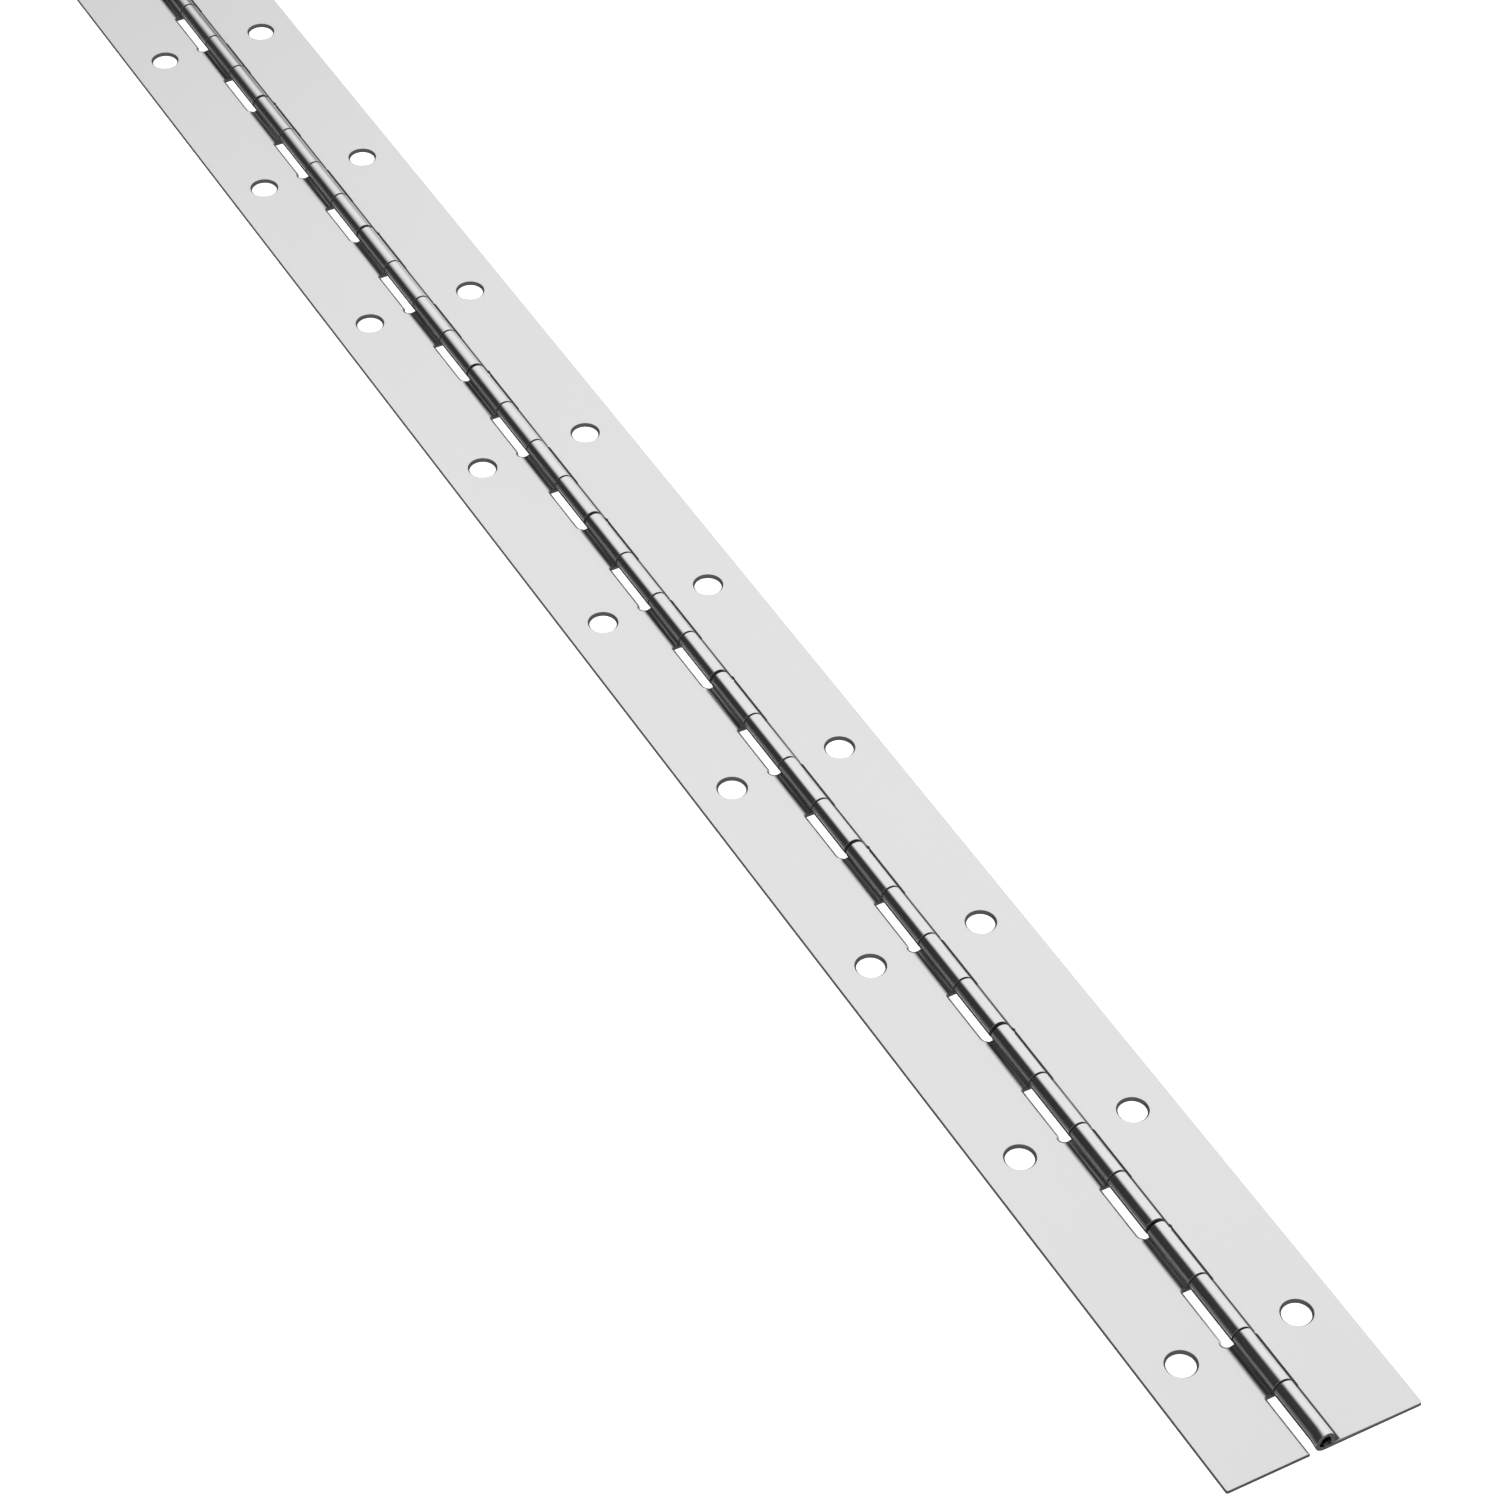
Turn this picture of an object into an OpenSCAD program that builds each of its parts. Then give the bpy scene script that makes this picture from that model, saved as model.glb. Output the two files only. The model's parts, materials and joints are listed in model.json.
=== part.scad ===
// Piano hinge: two leaves with rolled knuckles on one long pin.
// X runs across the hinge, Y along its pin and Z up. The leaves lie open and flat, with their
// undersides at z = 0, and the origin is under the pin, half way along the hinge.

/* [Leaves] */
// Number of screw holes in each leaf
holes_per_leaf = 12; // [2:1:36]
// Width of a leaf, from the pin's axis to the free edge
leaf_width = 19.05; // [16:0.05:60]
// Thickness of the sheet
sheet = 0.762; // [0.5:0.002:1]
// Radius of the leaf's two outer corners
corner_r = 0.4; // [0.1:0.1:3]

/* [Knuckles] */
// Distance from one knuckle to the next, counting both leaves
knuckle_pitch = 12.7; // [10:0.1:25]
// Outside diameter of a knuckle
knuckle_d = 3.7; // [3.4:0.1:5]
// Gap between a knuckle's rolled end and its own leaf
seam = 0.12; // [0.05:0.01:0.3]
// Gap between neighbouring knuckles
knuckle_gap = 0.4; // [0.2:0.05:1]
// Gap at every fourth joint between knuckles, which the stamping leaves wider
wide_gap = 0.75; // [0.2:0.05:1.5]
// How far the joints beside a screw hole and half way between two holes are shifted
joint_shift = 0.4; // [0:0.05:1]

/* [Slots] */
// Distance from the pin's axis to the edge of the slots that clear the other leaf's knuckles
slot_edge = 3; // [2.8:0.05:4]
// Radius of the round relief notch at the end of every second slot
relief_r = 0.9; // [0.6:0.05:1]
// How far the relief notch reaches into the leaf
relief_reach = 0.35; // [0.1:0.05:0.5]
// Radius of the inner corner of the slots that have no relief notch
slot_corner_r = 1.2; // [0.3:0.1:2]

/* [Screw holes] */
// Distance from the pin's axis to the row of holes
hole_offset = 11.4; // [9:0.1:12]
// Diameter of a screw hole
hole_d = 5.2; // [3:0.1:6]
// How much wider than the hole the countersink is at the top face
countersink_extra = 0.65; // [0.1:0.05:1]
// Included angle of the countersink
countersink_angle = 82; // [60:1:120]

/* [Pin] */
// Radial clearance between the pin and a knuckle
pin_clearance = 0.038; // [0.015:0.001:0.09]
// How far the pin's ends lie inside the barrel
pin_recess = 0.5; // [0:0.1:2]
// Chamfer on the pin's ends
pin_chamfer = 0.2; // [0.1:0.05:0.4]
// Length of the end knuckle that is squeezed onto the pin to hold it
staked_length = 1.5; // [0.6:0.1:5]

/* [Hidden] */
$fn = 96;
knuckle_r = knuckle_d / 2;
bore_r = knuckle_r - sheet;
pin_r = bore_r - pin_clearance;
joints_per_hole = 4;
knuckles = joints_per_hole * holes_per_leaf;
hole_pitch = joints_per_hole * knuckle_pitch;
hinge_length = knuckles * knuckle_pitch;
// angle below the horizontal at which a knuckle's rolled end stops, just above its own leaf
curl_end = asin((knuckle_r - sheet - seam) / knuckle_r);
// length of the straight start that is drawn with the curl, and how far the tab overlaps it
root_length = 1.2;
root_overlap = 0.6;
countersink_depth = countersink_extra / 2 / tan(countersink_angle / 2);
// how far a cut runs past the face that it starts from
cut_over = 0.1;
// how far a relief notch cuts into the tab beside it
relief_bite = 0.05;
right = 1;
left = -1;

function hole_place(i) = (i + 0.5) * hole_pitch;

// Joint n lies between knuckle n - 1 and knuckle n. The joints repeat from one screw hole to the next.
function beside_hole(n) = n % joints_per_hole == joints_per_hole / 2;
function between_holes(n) = n % joints_per_hole == 0;
function joint_place(n) =
    n * knuckle_pitch + (beside_hole(n) ? -joint_shift : between_holes(n) ? joint_shift : 0);
function joint_gap(n) = between_holes(n) ? wide_gap : knuckle_gap;
function knuckle_start(n) = n == 0 ? 0 : joint_place(n) + joint_gap(n) / 2;
function knuckle_end(n) = n == knuckles - 1 ? hinge_length : joint_place(n + 1) - joint_gap(n + 1) / 2;

// The knuckles of one leaf: the right leaf has the first, the left leaf the last.
function own_knuckles(side) = [for (n = [side == right ? 0 : 1 : 2 : knuckles - 1]) n];

// The slot ends that the stamping finishes with a relief notch or a large corner, by turns. They lie
// where one of the left leaf's own knuckles stops, and where one of the right leaf's starts.
// Each is [place along the hinge, has a relief notch].
function slot_ends(side) = side == right
    ? [for (n = own_knuckles(right)) if (n > 0) [knuckle_start(n), between_holes(n)]]
    : [for (n = own_knuckles(left)) if (n < knuckles - 1) [knuckle_end(n), beside_hole(n + 1)]];

// What a round corner of radius r leaves of a square corner at the origin. The corner's sides run
// along -X and along Y, towards +Y where turn is 1 and towards -Y where it is -1.
module corner_rest(r, turn) {
    scale([1, turn])
        difference() {
            translate([-r, 0]) square([r, r]);
            translate([-r, r]) circle(r);
        }
}

// Outline of a leaf's flat plate seen from above, starting at y = 0, without its tabs and holes
module plate_outline() {
    difference() {
        translate([slot_edge, 0]) square([leaf_width - slot_edge, hinge_length]);
        translate([leaf_width, 0]) corner_rest(corner_r, 1);
        translate([leaf_width, hinge_length]) corner_rest(corner_r, -1);
    }
}

// The short straight tab that joins one knuckle to the plate
module tab_outline(start, end) {
    translate([root_length - root_overlap, start])
        square([slot_edge - root_length + 2 * root_overlap, end - start]);
}

// A leaf seen from above, with its tabs and holes but without the curled knuckles
module blank(side) {
    // which way the slot lies from the slot end
    towards = side == right ? -1 : 1;
    difference() {
        union() {
            plate_outline();
            for (n = own_knuckles(side))
                tab_outline(knuckle_start(n), knuckle_end(n));
            for (end = slot_ends(side))
                if (!end[1])
                    translate([slot_edge, end[0]]) corner_rest(slot_corner_r, towards);
        }
        for (end = slot_ends(side))
            if (end[1])
                translate([
                    slot_edge + relief_reach - relief_r,
                    end[0] + towards * (relief_r - relief_bite)
                ])
                    circle(relief_r);
        for (i = [0 : holes_per_leaf - 1])
            translate([hole_offset, hole_place(i)]) circle(d = hole_d);
    }
}

// Section of a right-hand knuckle: it runs from the leaf under the pin, round the far side, over
// the top and down again to the seam. inner_r is the radius of its bore.
module curl_section(inner_r) {
    far = 2 * knuckle_d;
    difference() {
        translate([0, knuckle_r]) circle(knuckle_r);
        translate([0, knuckle_r]) circle(inner_r);
        translate([0, knuckle_r])
            polygon([
                [0, 0],
                [far * cos(curl_end), -far * sin(curl_end)],
                [far, -far],
                [0, -far]
            ]);
    }
    square([root_length, sheet]);
}

// One knuckle of a right-hand leaf, between two places along the hinge
module curl(start, end, inner_r) {
    translate([0, end, 0])
        rotate([90, 0, 0])
            linear_extrude(end - start)
                curl_section(inner_r);
}

// One leaf. It is drawn as a right-hand leaf and mirrored for the left.
module leaf(side) {
    translate([0, -hinge_length / 2, 0])
        scale([side, 1, 1])
            difference() {
                union() {
                    linear_extrude(sheet) blank(side);
                    for (n = own_knuckles(side))
                        curl(knuckle_start(n), knuckle_end(n), bore_r);
                }
                for (i = [0 : holes_per_leaf - 1])
                    translate([hole_offset, hole_place(i), sheet - countersink_depth])
                        countersink();
            }
}

module countersink() {
    cylinder(
        h = countersink_depth + cut_over,
        d1 = hole_d,
        d2 = hole_d + countersink_extra + 2 * cut_over * tan(countersink_angle / 2)
    );
}

module right_leaf() {
    color("silver") {
        leaf(right);
        // the end knuckle squeezed onto the pin
        translate([0, -hinge_length / 2, 0]) curl(pin_recess, pin_recess + staked_length, pin_r);
    }
}

module left_leaf() {
    color("silver") leaf(left);
}

module pin() {
    half = hinge_length / 2 - pin_recess;
    color("gray")
        translate([0, 0, knuckle_r])
            rotate([90, 0, 0])
                rotate_extrude()
                    polygon([
                        [0, -half],
                        [pin_r - pin_chamfer, -half],
                        [pin_r, -half + pin_chamfer],
                        [pin_r, half - pin_chamfer],
                        [pin_r - pin_chamfer, half],
                        [0, half]
                    ]);
}

right_leaf();
left_leaf();
pin();
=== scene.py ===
"""Piano hinge: the look of its two rolled leaves and its pin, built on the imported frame.

Each leaf is drawn flat, as the stamped blank that it is made from, and then bent round the pin. The
blank is a right-hand one in its own units: u runs across the hinge from the pin's axis, v along it
from the near end and w up through the sheet, all in millimetres. Blender's units are metres.
"""

import json
import math

import bpy
import numpy as np
from mathutils import Matrix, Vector
from mathutils.geometry import delaunay_2d_cdt


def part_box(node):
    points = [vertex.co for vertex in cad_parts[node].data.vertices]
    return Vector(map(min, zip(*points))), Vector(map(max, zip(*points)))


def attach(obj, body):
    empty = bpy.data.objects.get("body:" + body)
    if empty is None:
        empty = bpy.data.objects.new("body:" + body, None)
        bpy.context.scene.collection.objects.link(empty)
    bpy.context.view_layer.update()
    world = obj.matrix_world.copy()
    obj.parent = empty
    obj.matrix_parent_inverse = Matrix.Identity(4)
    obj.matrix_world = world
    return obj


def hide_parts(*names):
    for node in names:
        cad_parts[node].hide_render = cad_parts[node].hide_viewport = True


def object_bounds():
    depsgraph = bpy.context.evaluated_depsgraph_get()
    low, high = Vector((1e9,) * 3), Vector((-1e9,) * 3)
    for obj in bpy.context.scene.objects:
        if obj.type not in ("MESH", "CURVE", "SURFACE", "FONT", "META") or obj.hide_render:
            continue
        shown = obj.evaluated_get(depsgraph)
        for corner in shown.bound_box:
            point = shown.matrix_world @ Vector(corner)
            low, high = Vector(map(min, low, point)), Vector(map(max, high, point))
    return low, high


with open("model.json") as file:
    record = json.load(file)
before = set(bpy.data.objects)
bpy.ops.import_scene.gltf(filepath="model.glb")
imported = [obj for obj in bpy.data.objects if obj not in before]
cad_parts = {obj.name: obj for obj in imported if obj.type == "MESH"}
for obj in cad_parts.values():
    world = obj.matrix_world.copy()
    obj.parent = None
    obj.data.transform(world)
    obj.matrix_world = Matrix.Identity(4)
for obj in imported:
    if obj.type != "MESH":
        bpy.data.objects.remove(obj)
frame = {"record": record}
cad_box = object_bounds()

MM = 0.001

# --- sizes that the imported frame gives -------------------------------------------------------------

screw_rows = [m for m in frame["record"]["mounts"] if m["kind"] == "bolt_pattern"]
LENGTH = (cad_box[1].y - cad_box[0].y) / MM
LEAF_WIDTH = cad_box[1].x / MM
KNUCKLE_R = cad_box[1].z / 2 / MM
SHEET = screw_rows[0]["pos_m"][2] / MM
PIN_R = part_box("pin")[1].x / MM
PIN_RECESS = (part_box("pin")[0].y - cad_box[0].y) / MM
HOLE_R = screw_rows[0]["dims"]["hole_r_mm"]
HOLE_U = abs(screw_rows[0]["pos_m"][0]) / MM
HOLE_PITCH = screw_rows[0]["dims"]["spacing_y_mm"]
HOLES = round(LENGTH / HOLE_PITCH)

# --- sizes of the stamping -------------------------------------------------------------------------

JOINTS_PER_HOLE = 4
KNUCKLES = JOINTS_PER_HOLE * HOLES
KNUCKLE_PITCH = HOLE_PITCH / JOINTS_PER_HOLE
KNUCKLE_GAP = 0.4
WIDE_GAP = 0.75
JOINT_SHIFT = 0.4
SEAM = 0.12
SLOT_EDGE = 3.0
SLOT_SHARP_R = 0.3
SLOT_CORNER_R = {"right": 0.7, "left": 1.2}
RELIEF_R = {"right": 0.5, "left": 0.9}
RELIEF_REACH = {"right": 0.12, "left": 0.35}
RELIEF_BITE = 0.05
LEAF_CORNER_R = 0.4
COUNTERSINK_EXTRA = 0.65
COUNTERSINK_ANGLE = 82
COUNTERSINK_LIP = 0.03

# steps round each kind of arc in the outline, and round a screw hole
RELIEF_STEPS = 20
SLOT_CORNER_STEPS = 12
LEAF_CORNER_STEPS = 8
HOLE_STEPS = 72

# how far each kind of cut edge is rolled over on the upper face, and how deep that goes
SLOT_ROLL = {"right": 0.16, "left": 0.42}
KNUCKLE_ROLL = 0.06
LEAF_ROLL = 0.06
ROLL_DEPTH = 0.18
BURR_R = 0.04
# the roll of a slot's edge dies out over this length at the end of a leaf
ROLL_FADE = 0.25

# the hollow that the curling tool presses into a leaf beside its own knuckles
DIP_START = 2.85
DIP_DEEPEST = 2.1
DIP_END = 1.3
DIP_DEPTH = 0.22
# how far along the hinge it goes past a knuckle's sides, and over what length it fades out
DIP_REACH = 0.5
DIP_FADE = 0.7
# where the painted shade in that crease starts, and where it is at full strength
CREASE_SHADE = {"right": (3.12, 2.96), "left": (3.45, 2.55)}
# the plate's mesh has extra points there, this far clear of the rolled edges of the slots
CREASE_ROWS = (1.4, 1.7, 2.0, 2.3, 2.55, 2.75, 2.88, 2.96, 3.04, 3.12, 3.22, 3.34, 3.45, 3.6)
CREASE_COLUMNS = 9
CREASE_CLEARANCE = 0.12
# how far along the hinge the painted shade goes past a knuckle's sides, and over what length it fades out
CREASE_SHADE_REACH = 0.3
CREASE_SHADE_FADE = 0.4
# in degrees round the curl: where painted shade starts on its outside, and over how much it reaches full
# strength
CURL_SHADE_START = 252
CURL_SHADE_FADE = 12
# the metal starts to be burnished by the curling tool here, and is half so at the pin's axis
FORMED_U = 0.5

# the shears spread the end of the barrel and take a little more off its top
SHEAR_LENGTH = 1.0
SHEAR_FLARE = 0.22
SHEAR_SLANT = 0.25
# in degrees round the curl, where the slant is greatest
SHEAR_SLANT_AT = 215

# the pin's ends have a chamfer and a slightly crowned face
PIN_CHAMFER = 0.2
PIN_CROWN = 0.06
# how far the chamfer's two worn corners are set in, and how far past it the straight wire starts
PIN_WEAR = 0.03
PIN_BLEND = 0.05
PIN_SIDES = 48

# --- how the meshes are made -----------------------------------------------------------------------

# a point of a profile is part of the cut where its normal rises or falls less than this
CUT_RISE = 0.9
# two points are one where their places agree to this many digits
MERGE_DIGITS = 5
# small lengths, in millimetres: for comparing places, for triangulating, and for measuring slopes
HAIR = 1e-6
TRIANGLE_HAIR = 1e-7
SLOPE_STEP = 1e-4

# where the structured mesh of a knuckle meets the plate's, and how far it goes round the pin
TAB_U = 1.2
TAB_ROWS = 5
CURL_STEPS = 48
KNUCKLE_COLUMNS = 7
MIDDLE_R = KNUCKLE_R - SHEET / 2
CURL_ANGLE = math.radians(270) + math.asin((KNUCKLE_R - SHEET - SEAM) / KNUCKLE_R)
CURL_U = -CURL_ANGLE * MIDDLE_R


def joint_place(n):
    """Joint n lies between knuckle n - 1 and knuckle n."""
    phase = n % JOINTS_PER_HOLE
    shift = {0: JOINT_SHIFT, JOINTS_PER_HOLE // 2: -JOINT_SHIFT}.get(phase, 0)
    return n * KNUCKLE_PITCH + shift


def joint_gap(n):
    return WIDE_GAP if n % JOINTS_PER_HOLE == 0 else KNUCKLE_GAP


def knuckle_span(n):
    start = 0 if n == 0 else joint_place(n) + joint_gap(n) / 2
    end = LENGTH if n == KNUCKLES - 1 else joint_place(n + 1) - joint_gap(n + 1) / 2
    return start, end


def own_knuckles(side):
    """The right leaf has the first knuckle and the left leaf the last."""
    return range(0 if side == "right" else 1, KNUCKLES, 2)


# --- the outline of a blank ------------------------------------------------------------------------


def arc(centre, radius, start, end, steps):
    """Points on an arc, between two angles in degrees."""
    angles = np.radians(np.linspace(start, end, steps + 1))
    return [(centre[0] + radius * math.cos(a), centre[1] + radius * math.sin(a)) for a in angles]


def slot_corner(side, kind, place, towards):
    """From a knuckle's side out to the slot's edge. towards is 1 where the slot lies on the +v side."""
    if kind == "relief":
        radius, reach = RELIEF_R[side], RELIEF_REACH[side]
        centre = (SLOT_EDGE + reach - radius, radius - RELIEF_BITE)
        start = -90 - math.degrees(math.acos((radius - RELIEF_BITE) / radius))
        end = math.degrees(math.acos((radius - reach) / radius))
        points = arc(centre, radius, start, end, RELIEF_STEPS)
    else:
        radius = SLOT_CORNER_R[side] if kind == "smooth" else SLOT_SHARP_R
        points = arc((SLOT_EDGE - radius, radius), radius, -90, 0, SLOT_CORNER_STEPS)
    return [(u, place + towards * v) for u, v in points]


def corner_kinds(side, n):
    """How the slots beside knuckle n end: at the knuckle's start, and at its end."""
    kinds = ["sharp", "sharp"]
    which = 0 if side == "right" else 1
    joint = n + which
    relief_phase = 0 if side == "right" else JOINTS_PER_HOLE // 2
    kinds[which] = "relief" if joint % JOINTS_PER_HOLE == relief_phase else "smooth"
    return kinds


def knuckle_rows():
    """Places across the blank where a knuckle's mesh has a row, from the plate to the curled tip."""
    flat = list(np.linspace(TAB_U, 0, TAB_ROWS))
    curled = list(np.linspace(0, CURL_U, CURL_STEPS + 1))[1:]
    return flat + [u for u in curled if u > CURL_U + 1.5 * KNUCKLE_ROLL]


def knuckle_columns(start, end):
    """Places along the hinge where a knuckle's mesh has a column, between its rolled edges."""
    return list(np.linspace(start + KNUCKLE_ROLL, end - KNUCKLE_ROLL, KNUCKLE_COLUMNS))[1:-1]


def outline(side):
    """The blank's whole outline, anticlockwise, as points with the roll that each has."""
    own = own_knuckles(side)
    rows = knuckle_rows()
    centre = (LEAF_WIDTH - LEAF_CORNER_R, LEAF_CORNER_R)
    edge = [(u, v, LEAF_ROLL) for u, v in arc(centre, LEAF_CORNER_R, -90, 0, LEAF_CORNER_STEPS)]
    edge += [(u, LENGTH - v, r) for u, v, r in reversed(edge)]
    path = []
    # an end of the leaf that isn't the side of a knuckle starts at the slot's edge
    if own[0] != 0:
        path += [(SLOT_EDGE, ROLL_FADE, SLOT_ROLL[side]), (SLOT_EDGE, 0, LEAF_ROLL)]
    path += edge
    if own[-1] != KNUCKLES - 1:
        path += [(SLOT_EDGE, LENGTH, LEAF_ROLL), (SLOT_EDGE, LENGTH - ROLL_FADE, SLOT_ROLL[side])]
    for n in reversed(own):
        start, end = knuckle_span(n)
        at_start, at_end = corner_kinds(side, n)
        if end < LENGTH:
            path += rolled(side, reversed(slot_corner(side, at_end, end, 1)))
        path += [(u, end, KNUCKLE_ROLL) for u in rows]
        tip = [end, *reversed(knuckle_columns(start, end)), start]
        path += [(CURL_U, v, KNUCKLE_ROLL) for v in tip]
        path += [(u, start, KNUCKLE_ROLL) for u in reversed(rows)]
        if start > 0:
            path += rolled(side, slot_corner(side, at_start, start, -1))
    return path


def rolled(side, points):
    """Points with a roll that grows from a knuckle's side to a slot's edge."""
    out = []
    for u, v in points:
        share = min(max((u - TAB_U) / (SLOT_EDGE - TAB_U), 0), 1)
        out.append((u, v, KNUCKLE_ROLL + (SLOT_ROLL[side] - KNUCKLE_ROLL) * share**2))
    return out


# --- profiles of the cut edges ---------------------------------------------------------------------


def edge_profile(roll):
    """From the upper face over the rolled edge and down the cut: inset, height and normal.

    The roll is steepest at the cut, and its places are shares of its width and of its depth.
    """
    depth = min(ROLL_DEPTH, roll)
    lean = math.atan2(depth * 0.8, roll * 0.85)
    ramp = (-math.sin(lean), math.cos(lean))
    upper = [
        (roll, SHEET, (0, 1)),
        (roll * 0.88, SHEET - depth * 0.05, ramp),
        (roll * 0.15, SHEET - depth * 0.72, ramp),
        (roll * 0.04, SHEET - depth * 0.85, (-0.8, 0.6)),
        (0, SHEET - depth * 1.05, (-1, 0)),
    ]
    lower = []
    for degrees in (0, 45, 90):
        a = math.radians(degrees)
        across, up = math.cos(a), math.sin(a)
        lower.append((BURR_R * (1 - across), BURR_R * (1 - up), (-across, -up)))
    return upper + lower


def cut_mask(normal):
    """1 where a profile's point is part of the cut, and 0 on the sheet's faces."""
    return float(abs(normal[1]) < CUT_RISE)


def hole_profile():
    """The same for a countersunk screw hole, with insets from the hole's own radius."""
    lean = math.radians(COUNTERSINK_ANGLE / 2)
    slope = math.tan(lean)
    width = COUNTERSINK_EXTRA / 2
    deep = width / slope
    cone = (-math.cos(lean), math.sin(lean))
    return [
        (width + COUNTERSINK_LIP, SHEET, (0, 1)),
        (width - COUNTERSINK_LIP * slope, SHEET - COUNTERSINK_LIP, cone),
        (COUNTERSINK_LIP * slope, SHEET - deep + COUNTERSINK_LIP, cone),
        (0, SHEET - deep - COUNTERSINK_LIP, (-1, 0)),
        (0, BURR_R, (-1, 0)),
        (BURR_R * 0.3, BURR_R * 0.3, (-0.7, -0.7)),
        (BURR_R, 0, (0, -1)),
    ]


# --- the flat mesh ---------------------------------------------------------------------------------


class Mesh:
    """Points with a normal each, shared where they lie in the same place, and faces."""

    def __init__(self):
        self.points = []
        self.normals = []
        self.cut = []
        self.faces = []
        self.index = {}

    def point(self, u, v, w, normal, cut=0.0):
        key = tuple(round(place, MERGE_DIGITS) for place in (u, v, w))
        if key not in self.index:
            self.index[key] = len(self.points)
            self.points.append((u, v, w))
            self.normals.append(normal)
            self.cut.append(cut)
        return self.index[key]

    def face(self, *corners):
        corners = [c for i, c in enumerate(corners) if c != corners[i - 1]]
        if len(corners) > 2:
            self.faces.append(corners)

    def band(self, loops):
        """Faces between neighbouring closed loops of points, outwards from the upper face's loop."""
        for one, other in zip(loops, loops[1:]):
            for i in range(len(one)):
                self.face(one[i - 1], other[i - 1], other[i], one[i])


def inward(points):
    """For each point of a closed anticlockwise outline, the step that insets it by one unit, and its
    direction."""
    places = np.array([p[:2] for p in points])
    before = places - np.roll(places, 1, axis=0)
    after = np.roll(places, -1, axis=0) - places
    sides = []
    for step in (before, after):
        step = step / np.linalg.norm(step, axis=1)[:, None]
        sides.append(np.stack([-step[:, 1], step[:, 0]], axis=1))
    middle = sides[0] + sides[1]
    directions = middle / np.linalg.norm(middle, axis=1)[:, None]
    return 2 * middle / np.sum(middle**2, axis=1)[:, None], directions


def add_edges(mesh, path):
    """The rolled edge all round the blank. Gives the upper and lower inner loops."""
    steps, directions = inward(path)
    loops = []
    for k in range(len(edge_profile(1))):
        loop = []
        for (u, v, roll), step, way in zip(path, steps, directions):
            inset, w, normal = edge_profile(roll)[k]
            full = (*(way * normal[0]), normal[1])
            loop.append(mesh.point(u + inset * step[0], v + inset * step[1], w, full, cut_mask(normal)))
        loops.append(loop)
    mesh.band(loops)
    return loops[0], loops[-1]


def add_hole(mesh, v):
    """One countersunk hole. Gives its upper and lower loops."""
    loops = []
    for inset, w, normal in hole_profile():
        loop = []
        for i in range(HOLE_STEPS):
            a = -2 * math.pi * i / HOLE_STEPS
            out = (math.cos(a), math.sin(a))
            radius = HOLE_R + inset
            full = (out[0] * normal[0], out[1] * normal[0], normal[1])
            place = (HOLE_U + radius * out[0], v + radius * out[1], w)
            loop.append(mesh.point(*place, full, cut_mask(normal)))
        loops.append(loop)
    mesh.band(loops)
    return loops[0], loops[-1]


def add_knuckle_faces(mesh, start, end, inset, w, normal):
    """The upper or lower face of one knuckle's strip. Gives the row where it meets the plate."""
    rows = knuckle_rows() + [CURL_U + inset]
    columns = [start + inset, *knuckle_columns(start, end), end - inset]
    grid = [[mesh.point(u, v, w, normal) for v in columns] for u in rows]
    for one, other in zip(grid, grid[1:]):
        for j in range(len(one) - 1):
            if normal[2] > 0:
                mesh.face(one[j], one[j + 1], other[j + 1], other[j])
            else:
                mesh.face(one[j], other[j], other[j + 1], one[j + 1])
    return grid[0]


def add_plate_faces(mesh, side, ring, holes, inset, w, normal):
    """The plate's upper or lower face: everything inside the edges, the holes and the knuckles."""
    own = [knuckle_span(n) for n in own_knuckles(side)]
    junctions = [add_knuckle_faces(mesh, start, end, inset, w, normal) for start, end in own]
    border = [i for i in ring if mesh.points[i][0] > TAB_U - HAIR]
    # each junction row closes the border between the two sides of its knuckle
    loop = []
    for k, i in enumerate(border):
        loop.append(i)
        following = border[(k + 1) % len(border)]
        for row in junctions:
            if i == row[-1] and following == row[0]:
                loop += list(reversed(row[1:-1]))
    loops = [loop, *holes]
    extra = []
    if normal[2] > 0:
        clear = SLOT_ROLL[side] + CREASE_CLEARANCE
        for start, end in own:
            for u in CREASE_ROWS:
                places = np.linspace(start + clear, end - clear, CREASE_COLUMNS)
                extra.append([mesh.point(u, v, w, normal) for v in places])
    # the triangulation numbers the points that it is given, so each gets a number of its own there
    used = [i for group in [*loops, *extra] for i in group]
    local = {i: k for k, i in enumerate(used)}
    edges = []
    for group in loops:
        edges += [(local[group[k - 1]], local[group[k]]) for k in range(len(group))]
    for group in extra:
        edges += [(local[a], local[b]) for a, b in zip(group, group[1:])]
    places = [mesh.points[i][:2] for i in used]
    _, _, triangles, origin, _, _ = delaunay_2d_cdt(places, edges, [], 1, TRIANGLE_HAIR)
    ring_of = {i: k for k, group in enumerate(holes) for i in group}
    for triangle in triangles:
        corners = [used[origin[k][0]] for k in triangle]
        in_rings = {ring_of.get(i) for i in corners}
        # a triangle with all its corners on one hole's ring lies in that hole
        if len(in_rings) == 1 and None not in in_rings:
            continue
        mesh.face(*(corners if normal[2] > 0 else reversed(corners)))


def blank(side):
    mesh = Mesh()
    path = outline(side)
    upper, lower = add_edges(mesh, path)
    rings = [add_hole(mesh, (i + 0.5) * HOLE_PITCH) for i in range(HOLES)]
    add_plate_faces(mesh, side, upper, [r[0] for r in rings], KNUCKLE_ROLL, SHEET, (0, 0, 1))
    add_plate_faces(mesh, side, lower, [r[1] for r in rings], BURR_R, 0, (0, 0, -1))
    return mesh


# --- bending the blank -----------------------------------------------------------------------------


def smooth(x):
    x = np.clip(x, 0, 1)
    return x * x * (3 - 2 * x)


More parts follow.
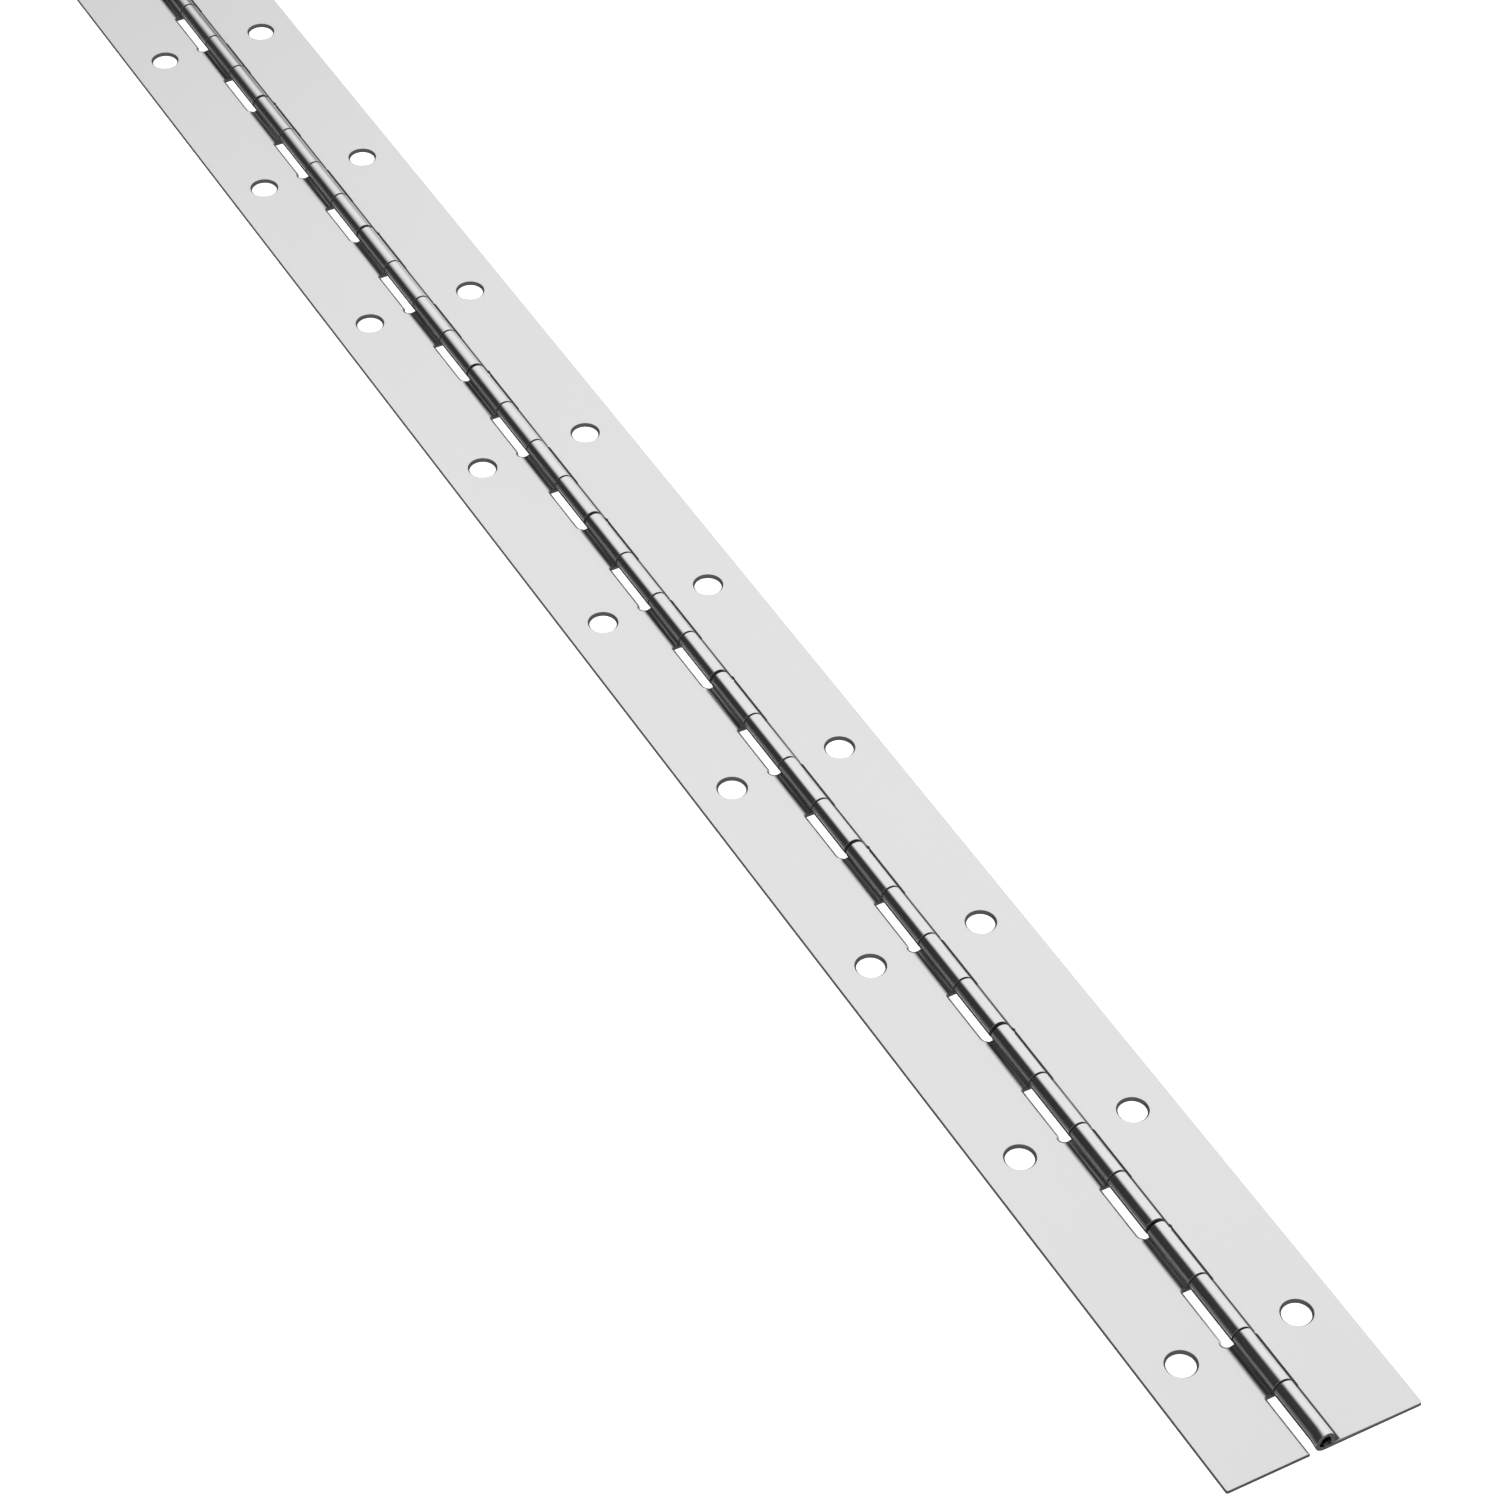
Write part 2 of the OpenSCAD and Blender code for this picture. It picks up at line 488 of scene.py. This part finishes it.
def beside_knuckles(side, v, reach, fade):
    """1 beside each of the leaf's own knuckles, fading out over a length that ends at reach past them."""
    near = np.zeros_like(v)
    for n in own_knuckles(side):
        start, end = knuckle_span(n)
        near = np.maximum(near, smooth((v - start + reach) / fade) * smooth((end + reach - v) / fade))
    return near


def pressed(side, points):
    """The blank with its upper face pressed in beside each of its own knuckles."""
    u, v, w = points.T
    inner = smooth((u - DIP_END) / (DIP_DEEPEST - DIP_END))
    across = smooth((DIP_START - u) / (DIP_START - DIP_DEEPEST)) * inner
    share = DIP_DEPTH / SHEET * across * beside_knuckles(side, v, DIP_REACH, DIP_FADE)
    return np.stack([u, v, w * (1 - share)], axis=1)


def creased(side, points):
    """How strongly shade is painted in the crease between the plate and the curl, and on the curl's
    outside where it comes round to the plate, from 0 to 1.
    """
    u, v, w = points.T
    start, full = CREASE_SHADE[side]
    beside = beside_knuckles(side, v, CREASE_SHADE_REACH, CREASE_SHADE_FADE)
    on_plate = smooth((start - u) / (start - full)) * beside * (w > SHEET / 2)
    past = -u / MIDDLE_R - math.radians(CURL_SHADE_START)
    on_curl = smooth(past / math.radians(CURL_SHADE_FADE)) * (w < SHEET / 2)
    return np.where(u > 0, on_plate, on_curl)


def bent(side, points):
    """Points of the flat blank, bent round the pin, in millimetres in the frame's axes.

    The flare ends at the top of the barrel, so that the leaf stays inside the CAD's box.
    """
    u, v, w = pressed(side, points).T
    angle = np.clip(-u / MIDDLE_R, 0, None)
    from_end = v if side == "right" else LENGTH - v
    at_end = smooth(1 - from_end / SHEAR_LENGTH)
    below_top = np.sin(np.clip(angle, 0, math.pi)) ** 2
    radius = KNUCKLE_R - w + SHEAR_FLARE * at_end * below_top
    slant = SHEAR_SLANT * at_end * np.clip(np.cos(angle - math.radians(SHEAR_SLANT_AT)), 0, 1)
    v = v + slant if side == "right" else v - slant
    x = np.where(u < 0, -radius * np.sin(angle), u)
    z = np.where(u < 0, KNUCKLE_R - radius * np.cos(angle), w)
    mirror = 1 if side == "right" else -1
    return np.stack([mirror * x, v - LENGTH / 2, z], axis=1)


def bent_normals(side, points, normals):
    """Normals of the bent surface, from how it moves with each of u, v and w."""
    moved = []
    for axis in range(3):
        shift = np.zeros(3)
        shift[axis] = SLOPE_STEP
        moved.append((bent(side, points + shift) - bent(side, points - shift)) / (2 * SLOPE_STEP))
    jacobian = np.stack(moved, axis=2)
    turned = np.einsum("nij,nj->ni", np.linalg.inv(jacobian).transpose(0, 2, 1), normals)
    return turned / np.linalg.norm(turned, axis=1)[:, None]


def add_object(name, points, faces, normals, **masks):
    data = bpy.data.meshes.new(name)
    data.from_pydata([tuple(p) for p in points], [], faces)
    data.shade_smooth()
    data.normals_split_custom_set_from_vertices([tuple(n) for n in normals])
    for mask, values in masks.items():
        data.attributes.new(mask, "FLOAT", "POINT").data.foreach_set("value", values)
    obj = bpy.data.objects.new(name, data)
    bpy.context.scene.collection.objects.link(obj)
    return obj


def make_leaf(side, material):
    mesh = blank(side)
    flat = np.array(mesh.points)
    normals = bent_normals(side, flat, np.array(mesh.normals, dtype=float))
    faces = mesh.faces if side == "right" else [f[::-1] for f in mesh.faces]
    # the crease mask passed here is where the material paints shade
    leaf = add_object(
        f"{side}_leaf_sheet", bent(side, flat) * MM, faces, normals,
        cut=mesh.cut, formed=smooth(FORMED_U - flat[:, 0]), crease=creased(side, flat),
    )
    leaf.data.materials.append(material)
    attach(leaf, f"{side}_half")
    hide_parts(f"{side}_leaf")


# --- the pin ---------------------------------------------------------------------------------------


def make_pin(material):
    """A drawn wire with cropped ends: a worn chamfer and a slightly crowned face."""
    half = LENGTH / 2 - PIN_RECESS
    # each place of the profile is a radius, a place along the pin, and a normal in those two
    profile = [(0, half, 0, 1)]
    for share in (0.35, 0.7, 0.95):
        radius = (PIN_R - PIN_CHAMFER) * share
        profile.append((radius, half - PIN_CROWN * share**2, share * 0.12, 1))
    profile += [
        (PIN_R - PIN_CHAMFER * 0.85, half - PIN_CROWN - PIN_WEAR, 0.6, 0.8),
        (PIN_R - PIN_WEAR, half - PIN_CHAMFER, 0.8, 0.6),
        (PIN_R, half - PIN_CHAMFER - PIN_BLEND, 1, 0),
    ]
    profile += [(r, -y, nr, -ny) for r, y, nr, ny in reversed(profile)]
    points, normals, faces = [], [], []
    for r, y, nr, ny in profile:
        for k in range(PIN_SIDES if r > 0 else 1):
            a = 2 * math.pi * k / PIN_SIDES
            points.append((r * math.cos(a) * MM, y * MM, (KNUCKLE_R + r * math.sin(a)) * MM))
            normals.append((nr * math.cos(a), ny, nr * math.sin(a)))
    rings = [[1 + j * PIN_SIDES + k for k in range(PIN_SIDES)] for j in range(len(profile) - 2)]
    # a known fault: the faces of all three kinds are wound inwards, against the normals
    for k in range(PIN_SIDES):
        faces.append([0, rings[0][k - 1], rings[0][k]])
        faces.append([len(points) - 1, rings[-1][k], rings[-1][k - 1]])
    for one, other in zip(rings, rings[1:]):
        for k in range(PIN_SIDES):
            faces.append([one[k - 1], other[k - 1], other[k], one[k]])
    pin = add_object("pin_wire", points, faces, normals)
    pin.data.materials.append(material)
    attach(pin, "right_half")
    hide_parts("pin")


# --- materials -------------------------------------------------------------------------------------


class Nodes:
    """A short way to write a node tree."""

    def __init__(self, tree):
        self.tree = tree
        tree.nodes.clear()

    def add(self, kind, **settings):
        node = self.tree.nodes.new(kind)
        for key, value in settings.items():
            setattr(node, key, value)
        return node

    def link(self, source, target):
        self.tree.links.new(source, target)

    def maths(self, operation, *inputs, clamp=False):
        node = self.add("ShaderNodeMath", operation=operation, use_clamp=clamp)
        for socket, value in zip(node.inputs, inputs):
            if isinstance(value, (int, float)):
                socket.default_value = value
            else:
                self.link(value, socket)
        return node.outputs[0]

    def noise(self, coordinates, scale, stretch, detail=2):
        mapping = self.add("ShaderNodeMapping")
        mapping.inputs["Scale"].default_value = stretch
        self.link(coordinates, mapping.inputs["Vector"])
        node = self.add("ShaderNodeTexNoise")
        node.inputs["Scale"].default_value = scale
        node.inputs["Detail"].default_value = detail
        self.link(mapping.outputs[0], node.inputs["Vector"])
        return node.outputs["Fac"]

    def bump(self, height, distance, normal=None):
        node = self.add("ShaderNodeBump")
        node.inputs["Distance"].default_value = distance
        self.link(height, node.inputs["Height"])
        if normal is not None:
            self.link(normal, node.inputs["Normal"])
        return node.outputs["Normal"]


def steel(name, tone, roughness, formed_roughness, haze, grain, wave):
    """Bright rolled steel with a fine grain along the sheet.

    The flat sheet has a soft haze, which the curling tool burnishes away round the pin. In the crease
    beside that, shade is painted as a dark streaked tone, rougher and less metallic, and its cut edges are
    matt and painted near black as shade. grain and wave are how high the fine grain and the tool's
    unevenness stand, in millimetres.
    """
    material = bpy.data.materials.new(name)
    material.use_nodes = True
    n = Nodes(material.node_tree)
    place = n.add("ShaderNodeTexCoord").outputs["Object"]
    cut = n.add("ShaderNodeAttribute", attribute_name="cut").outputs["Fac"]
    formed = n.add("ShaderNodeAttribute", attribute_name="formed").outputs["Fac"]
    crease = n.add("ShaderNodeAttribute", attribute_name="crease").outputs["Fac"]
    fine = n.noise(place, scale=9000, stretch=(1, 0.02, 1), detail=3)
    broad = n.noise(place, scale=60, stretch=(1, 0.35, 1))
    crease_streaks = n.noise(place, scale=6500, stretch=(1, 0.008, 1))
    # painted shade: the cut edges get a near-black tone, which keeps them dark under any light
    cut_shade_tone = 0.09

    # tone: the sheet, then the painted shade of the crease and the painted near-black shade of the cut
    # edges
    # painted shade in the crease: dark tones streaked along the hinge by noise
    crease_shade_tone = n.add("ShaderNodeMapRange", interpolation_type="SMOOTHSTEP")
    n.link(crease_streaks, crease_shade_tone.inputs["Value"])
    crease_shade_tone.inputs["From Min"].default_value = 0.52
    crease_shade_tone.inputs["From Max"].default_value = 0.66
    crease_shade_tone.inputs["To Min"].default_value = 0.08
    crease_shade_tone.inputs["To Max"].default_value = 0.4
    shade = n.add("ShaderNodeMix", data_type="RGBA")
    shade.inputs["A"].default_value = (tone, tone, tone, 1)
    n.link(crease_shade_tone.outputs["Result"], shade.inputs["B"])
    n.link(crease, shade.inputs["Factor"])
    # the cut edges take the painted near-black shade
    edge = n.add("ShaderNodeMix", data_type="RGBA")
    edge.inputs["B"].default_value = (cut_shade_tone, cut_shade_tone, cut_shade_tone, 1)
    n.link(shade.outputs["Result"], edge.inputs["A"])
    n.link(cut, edge.inputs["Factor"])

    # roughness: how much each of these adds to it
    broad_rough, fine_rough, crease_rough, cut_rough = 0.04, 0.03, 0.2, 0.3
    polish = n.maths("MULTIPLY_ADD", broad, broad_rough, roughness - broad_rough / 2)
    polish = n.maths("MULTIPLY_ADD", fine, fine_rough, polish)
    polish = n.maths("MULTIPLY_ADD", formed, formed_roughness - roughness, polish)
    polish = n.maths("MULTIPLY_ADD", crease, crease_rough, polish)
    polish = n.maths("MULTIPLY_ADD", cut, cut_rough, polish, clamp=True)

    # the curling tool leaves the knuckles slightly uneven
    uneven = n.maths("MULTIPLY", n.noise(place, scale=1100, stretch=(1, 0.45, 1)), formed)
    normal = n.bump(uneven, wave * MM)
    normal = n.bump(fine, grain * MM, normal)

    # how much of the metal's mirror each of these takes away
    cut_matt, crease_matt = 0.85, 0.6
    shader = n.add("ShaderNodeBsdfPrincipled")
    matt = n.maths("MAXIMUM", n.maths("MULTIPLY", cut, cut_matt), n.maths("MULTIPLY", crease, crease_matt))
    matt = n.maths("MAXIMUM", matt, n.maths("MULTIPLY_ADD", formed, -haze, haze))
    n.link(n.maths("SUBTRACT", 1.0, matt), shader.inputs["Metallic"])
    n.link(edge.outputs["Result"], shader.inputs["Base Color"])
    n.link(polish, shader.inputs["Roughness"])
    n.link(normal, shader.inputs["Normal"])
    n.link(shader.outputs[0], n.add("ShaderNodeOutputMaterial").inputs["Surface"])
    return material


# --- the studio ------------------------------------------------------------------------------------


def make_camera():
    """The photograph's viewpoint: in front, to the left and above, looking along the hinge."""
    place = (-0.323, -0.6714, 0.6212)
    # in degrees: to the right of +Y, down from the horizontal, and the tilt of the picture
    heading, downwards, tilt = 30.07, 44.23, 1.4
    data = bpy.data.cameras.new("camera")
    data.sensor_width = 36
    data.lens = 115.15
    data.clip_start = 0.01
    data.clip_end = 100
    turns = [("Z", -heading), ("X", 90 - downwards), ("Z", tilt)]
    camera = bpy.data.objects.new("camera", data)
    camera.matrix_world = Matrix.Translation(place)
    for axis, degrees in turns:
        camera.matrix_world = camera.matrix_world @ Matrix.Rotation(math.radians(degrees), 4, axis)
    bpy.context.scene.collection.objects.link(camera)
    bpy.context.scene.camera = camera


def make_floor():
    """A pale floor, far enough down for a leaf to hang above it at every pose.

    It isn't seen in the metal, which mirrors the studio's dark lower half instead.
    """
    half = 30.0
    pale = 0.9
    points = [(-half, -half, 0), (half, -half, 0), (half, half, 0), (-half, half, 0)]
    floor = add_object("floor", points, [[0, 1, 2, 3]], [(0, 0, 1)] * 4)
    floor.location.z = -LEAF_WIDTH * MM
    floor.visible_glossy = False
    material = bpy.data.materials.new("floor_paper")
    material.use_nodes = True
    n = Nodes(material.node_tree)
    shader = n.add("ShaderNodeBsdfPrincipled")
    shader.inputs["Base Color"].default_value = (pale, pale, pale, 1)
    shader.inputs["Roughness"].default_value = 0.9
    shader.inputs["Emission Color"].default_value = (1, 1, 1, 1)
    shader.inputs["Emission Strength"].default_value = 0.9
    n.link(shader.outputs[0], n.add("ShaderNodeOutputMaterial").inputs["Surface"])
    floor.data.materials.append(material)


def make_studio():
    """A soft bright panel overhead, dark to its left and right and beyond it, and a plain dome elsewhere.

    Every part of the sky is a direction (x, y, z), and each soft edge is a plane through the sky.
    """
    world = bpy.data.worlds.new("studio")
    bpy.context.scene.world = world
    world.use_nodes = True
    n = Nodes(world.node_tree)
    parts = n.add("ShaderNodeSeparateXYZ")
    n.link(n.add("ShaderNodeTexCoord").outputs["Generated"], parts.inputs[0])
    sky = parts.outputs

    def edge(facing, offset, softness):
        """1 on the side of the plane that it faces and 0 on the other, with a soft edge between."""
        total = offset / softness + 0.5
        for part, weight in zip(sky, facing):
            total = n.maths("MULTIPLY_ADD", part, weight / softness, total)
        ramp = n.add("ShaderNodeMapRange", interpolation_type="SMOOTHSTEP")
        n.link(total, ramp.inputs["Value"])
        return ramp.outputs["Result"]

    def mixed(low, high, share):
        """From low to high as share goes from 0 to 1."""
        span = n.maths("SUBTRACT", high, low)
        return n.maths("ADD", low, n.maths("MULTIPLY", span, share))

    dark, horizon, bright = 0.03, 0.45, 0.85
    left = edge((0.3, 1, 0.23), offset=-0.68, softness=0.17)
    right = edge((0.42, -1, 0.54), offset=0.46, softness=0.48)
    far = edge((-0.2, -1, 0), offset=0.875, softness=0.1)
    panel = mixed(dark, bright, n.maths("MULTIPLY", left, n.maths("MULTIPLY", right, far)))

    # the plain dome fades towards the horizon. It takes over on both sides of a stretch of sky in
    # front of the camera, which has the panel: one side is all the rest, the other is straight ahead.
    dome = mixed(horizon, bright, edge((0, 0, 1), offset=-0.3, softness=0.7))
    around = edge((0, -1, 0), offset=0.34, softness=0.1)
    ahead = edge((0, 1, 0), offset=-0.83, softness=0.08)
    level = mixed(panel, dome, n.maths("ADD", around, ahead, clamp=True))
    level = mixed(dark, level, edge((0, 0, 1), offset=0.25, softness=0.1))

    # seen directly, behind the floor, it is as pale as the floor
    level = n.maths("MAXIMUM", level, n.add("ShaderNodeLightPath").outputs["Is Camera Ray"])
    background = n.add("ShaderNodeBackground")
    background.inputs["Color"].default_value = (1, 1, 1, 1)
    n.link(level, background.inputs["Strength"])
    n.link(background.outputs[0], n.add("ShaderNodeOutputWorld").inputs["Surface"])
    bpy.context.scene.view_settings.view_transform = "Standard"


make_camera()
make_studio()
make_floor()
leaf_steel = steel(
    "leaf_steel", tone=0.93, roughness=0.18, formed_roughness=0.1, haze=0.15, grain=0.0001, wave=0.003
)
pin_steel = steel(
    "pin_steel", tone=0.85, roughness=0.25, formed_roughness=0.25, haze=0.3, grain=0.001, wave=0
)
make_leaf("right", leaf_steel)
make_leaf("left", leaf_steel)
make_pin(pin_steel)
